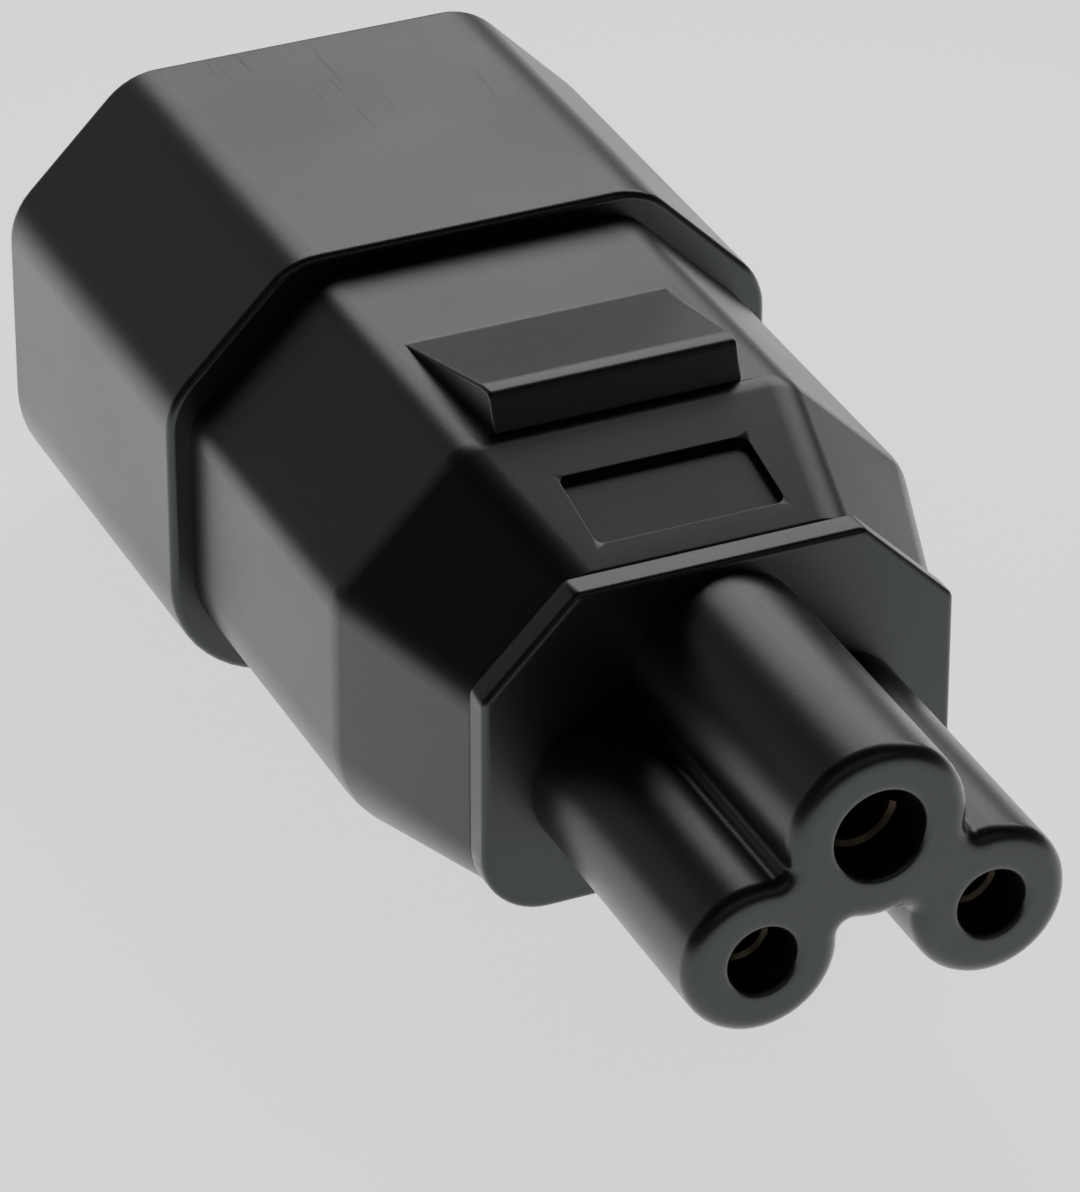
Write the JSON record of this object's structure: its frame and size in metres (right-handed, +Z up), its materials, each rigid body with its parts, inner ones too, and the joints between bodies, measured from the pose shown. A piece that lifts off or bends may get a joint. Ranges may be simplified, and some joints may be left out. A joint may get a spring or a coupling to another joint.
{
  "type": "power cord adapter",
  "caption": "Moulded power cord adapter: keyed inlet collar with recessed blades at the rear, tapered grip with a finger wedge, and a clover-shaped socket nose at the front.",
  "frame": {"origin": "middle of the box's base, on the plane of the collar's underside", "axes": "+Y from the socket nose to the inlet, +Z up towards the cut corners, +X across the width"},
  "size_m": [0.0284, 0.06, 0.0209],
  "materials": {
    "grip_compound": "satin moulded",
    "collar_plastic": "satin moulded",
    "nose_plastic": "fine satin moulded",
    "cap_plastic": "moulded",
    "blade_metal": "nickel plated",
    "contact_metal": "stamped and tinned",
    "rivet_metal": "upset"
  },
  "bodies": {
    "root": {"rear_shroud": "collar_plastic", "grip_body": "grip_compound", "nose_insert": "nose_plastic", "socket_cap": "cap_plastic", "line_blade": "blade_metal", "neutral_blade": "blade_metal", "earth_blade": "blade_metal", "line_socket": "contact_metal", "neutral_socket": "contact_metal", "earth_socket": "contact_metal", "contact_rivets": "rivet_metal"}
  },
  "joints": []
}
